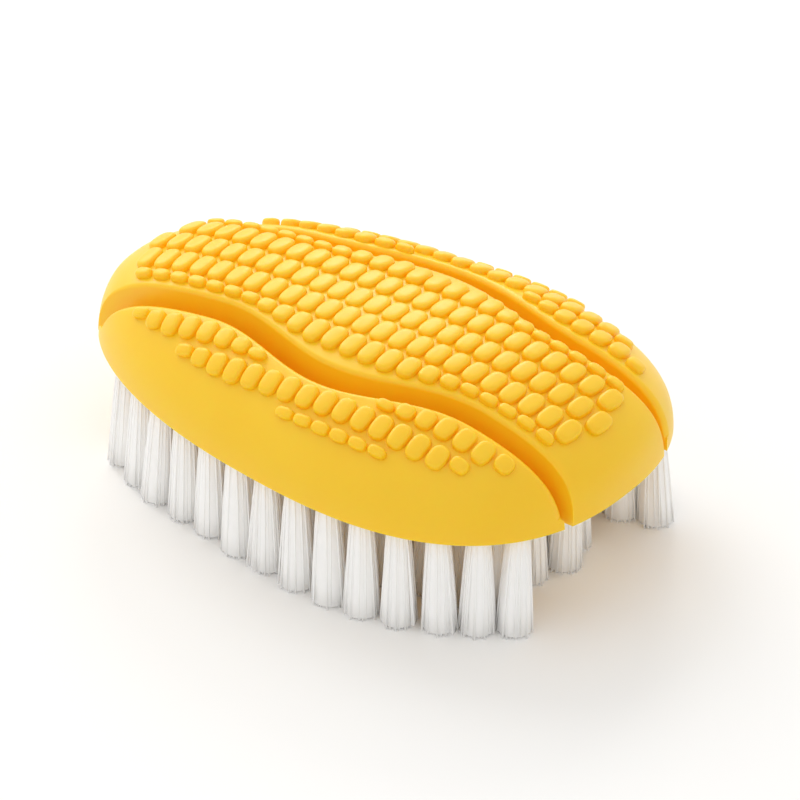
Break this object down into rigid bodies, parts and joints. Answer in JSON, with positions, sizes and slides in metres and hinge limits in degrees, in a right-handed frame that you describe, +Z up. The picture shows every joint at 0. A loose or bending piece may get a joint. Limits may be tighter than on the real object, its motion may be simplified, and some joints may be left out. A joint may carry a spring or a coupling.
{
  "type": "vegetable brush",
  "caption": "Palm-sized oval scrubbing brush with a soft yellow domed back covered in corn kernel relief, wing lobes that fold at wavy grooves, and white bristle tufts",
  "frame": {"origin": "middle of the footprint, on the plane of the bristle tips", "axes": "X along the length towards the wider end, Z up out of the back"},
  "size_m": [0.111, 0.0736, 0.0396],
  "materials": {
    "back": "soft satin moulded plastic",
    "web": "thin soft moulded plastic",
    "bristle": "white nylon filament",
    "anchor": "flat drawn wire"
  },
  "bodies": {
    "centre": {"centre_lobe": "back", "near_hinge_web": "web", "far_hinge_web": "web", "centre_bristles_middle": "bristle", "centre_bristles_near": "bristle", "centre_bristles_far": "bristle", "bulge_bristles_near": "bristle", "bulge_bristles_far": "bristle", "centre_anchors_middle": "anchor", "centre_anchors_near": "anchor", "centre_anchors_far": "anchor", "bulge_anchors_near": "anchor", "bulge_anchors_far": "anchor"},
    "near_side": {"near_wing": "back", "near_bristles_inner": "bristle", "near_bristles_outer": "bristle", "near_anchors_inner": "anchor", "near_anchors_outer": "anchor"},
    "far_side": {"far_wing": "back", "far_bristles_inner": "bristle", "far_bristles_outer": "bristle", "far_anchors_inner": "anchor", "far_anchors_outer": "anchor"}
  },
  "joints": [
    {"name": "near_wing_fold", "type": "hinge", "parent": "centre", "child": "near_side", "pos_m": [0, -0.0165, 0.0211], "axis": [1, 0, 0], "range_deg": [-10, 15], "stiffness_Nm_per_rad": 0.3},
    {"name": "far_wing_fold", "type": "hinge", "parent": "centre", "child": "far_side", "pos_m": [0, 0.0165, 0.0211], "axis": [-1, 0, 0], "range_deg": [-10, 15], "stiffness_Nm_per_rad": 0.3}
  ]
}
